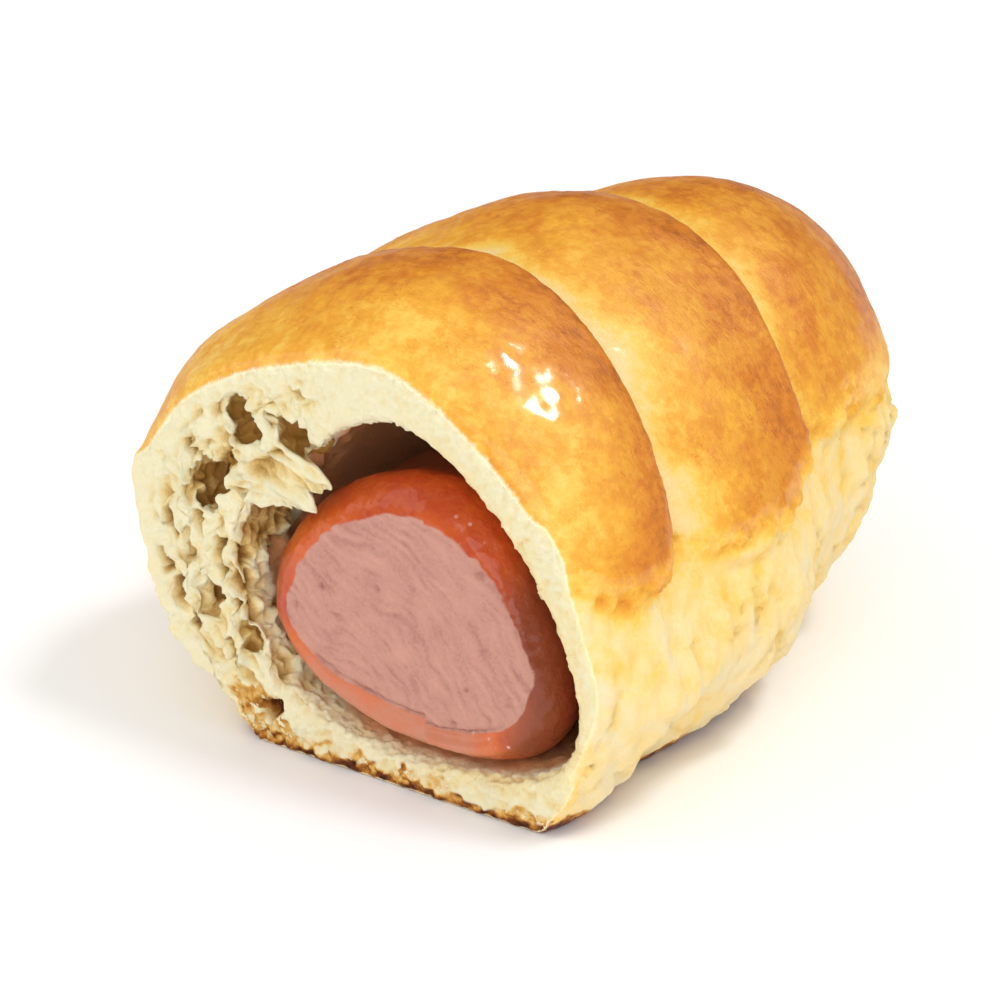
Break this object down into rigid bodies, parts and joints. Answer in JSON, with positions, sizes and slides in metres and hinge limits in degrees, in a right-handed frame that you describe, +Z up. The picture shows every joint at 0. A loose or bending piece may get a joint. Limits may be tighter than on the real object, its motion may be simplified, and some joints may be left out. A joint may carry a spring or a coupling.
{
  "type": "cut sausage roll",
  "caption": "Cut half of a banded milk-bread sausage roll: glazed lobed crust with a closed rounded end, open porous crumb at the cut, and a thick cooked sausage in its hollow.",
  "frame": {"origin": "under the middle of the bread, on the surface that it rests on", "axes": "+Z up, +Y along the roll from the cut face to the closed end, +X to the right seen from the cut face"},
  "size_m": [0.0654, 0.076, 0.0521],
  "materials": {
    "bread": "glazed golden crust over a pale stretched foot, cream crumb at the cut; matte_plastic stands in for baked bread",
    "sausage": "pink fine-ground meat with a moist orange-red skin; gloss_plastic stands in for cooked sausage"
  },
  "bodies": {
    "root": {"bread": "bread", "sausage": "sausage"}
  },
  "joints": []
}
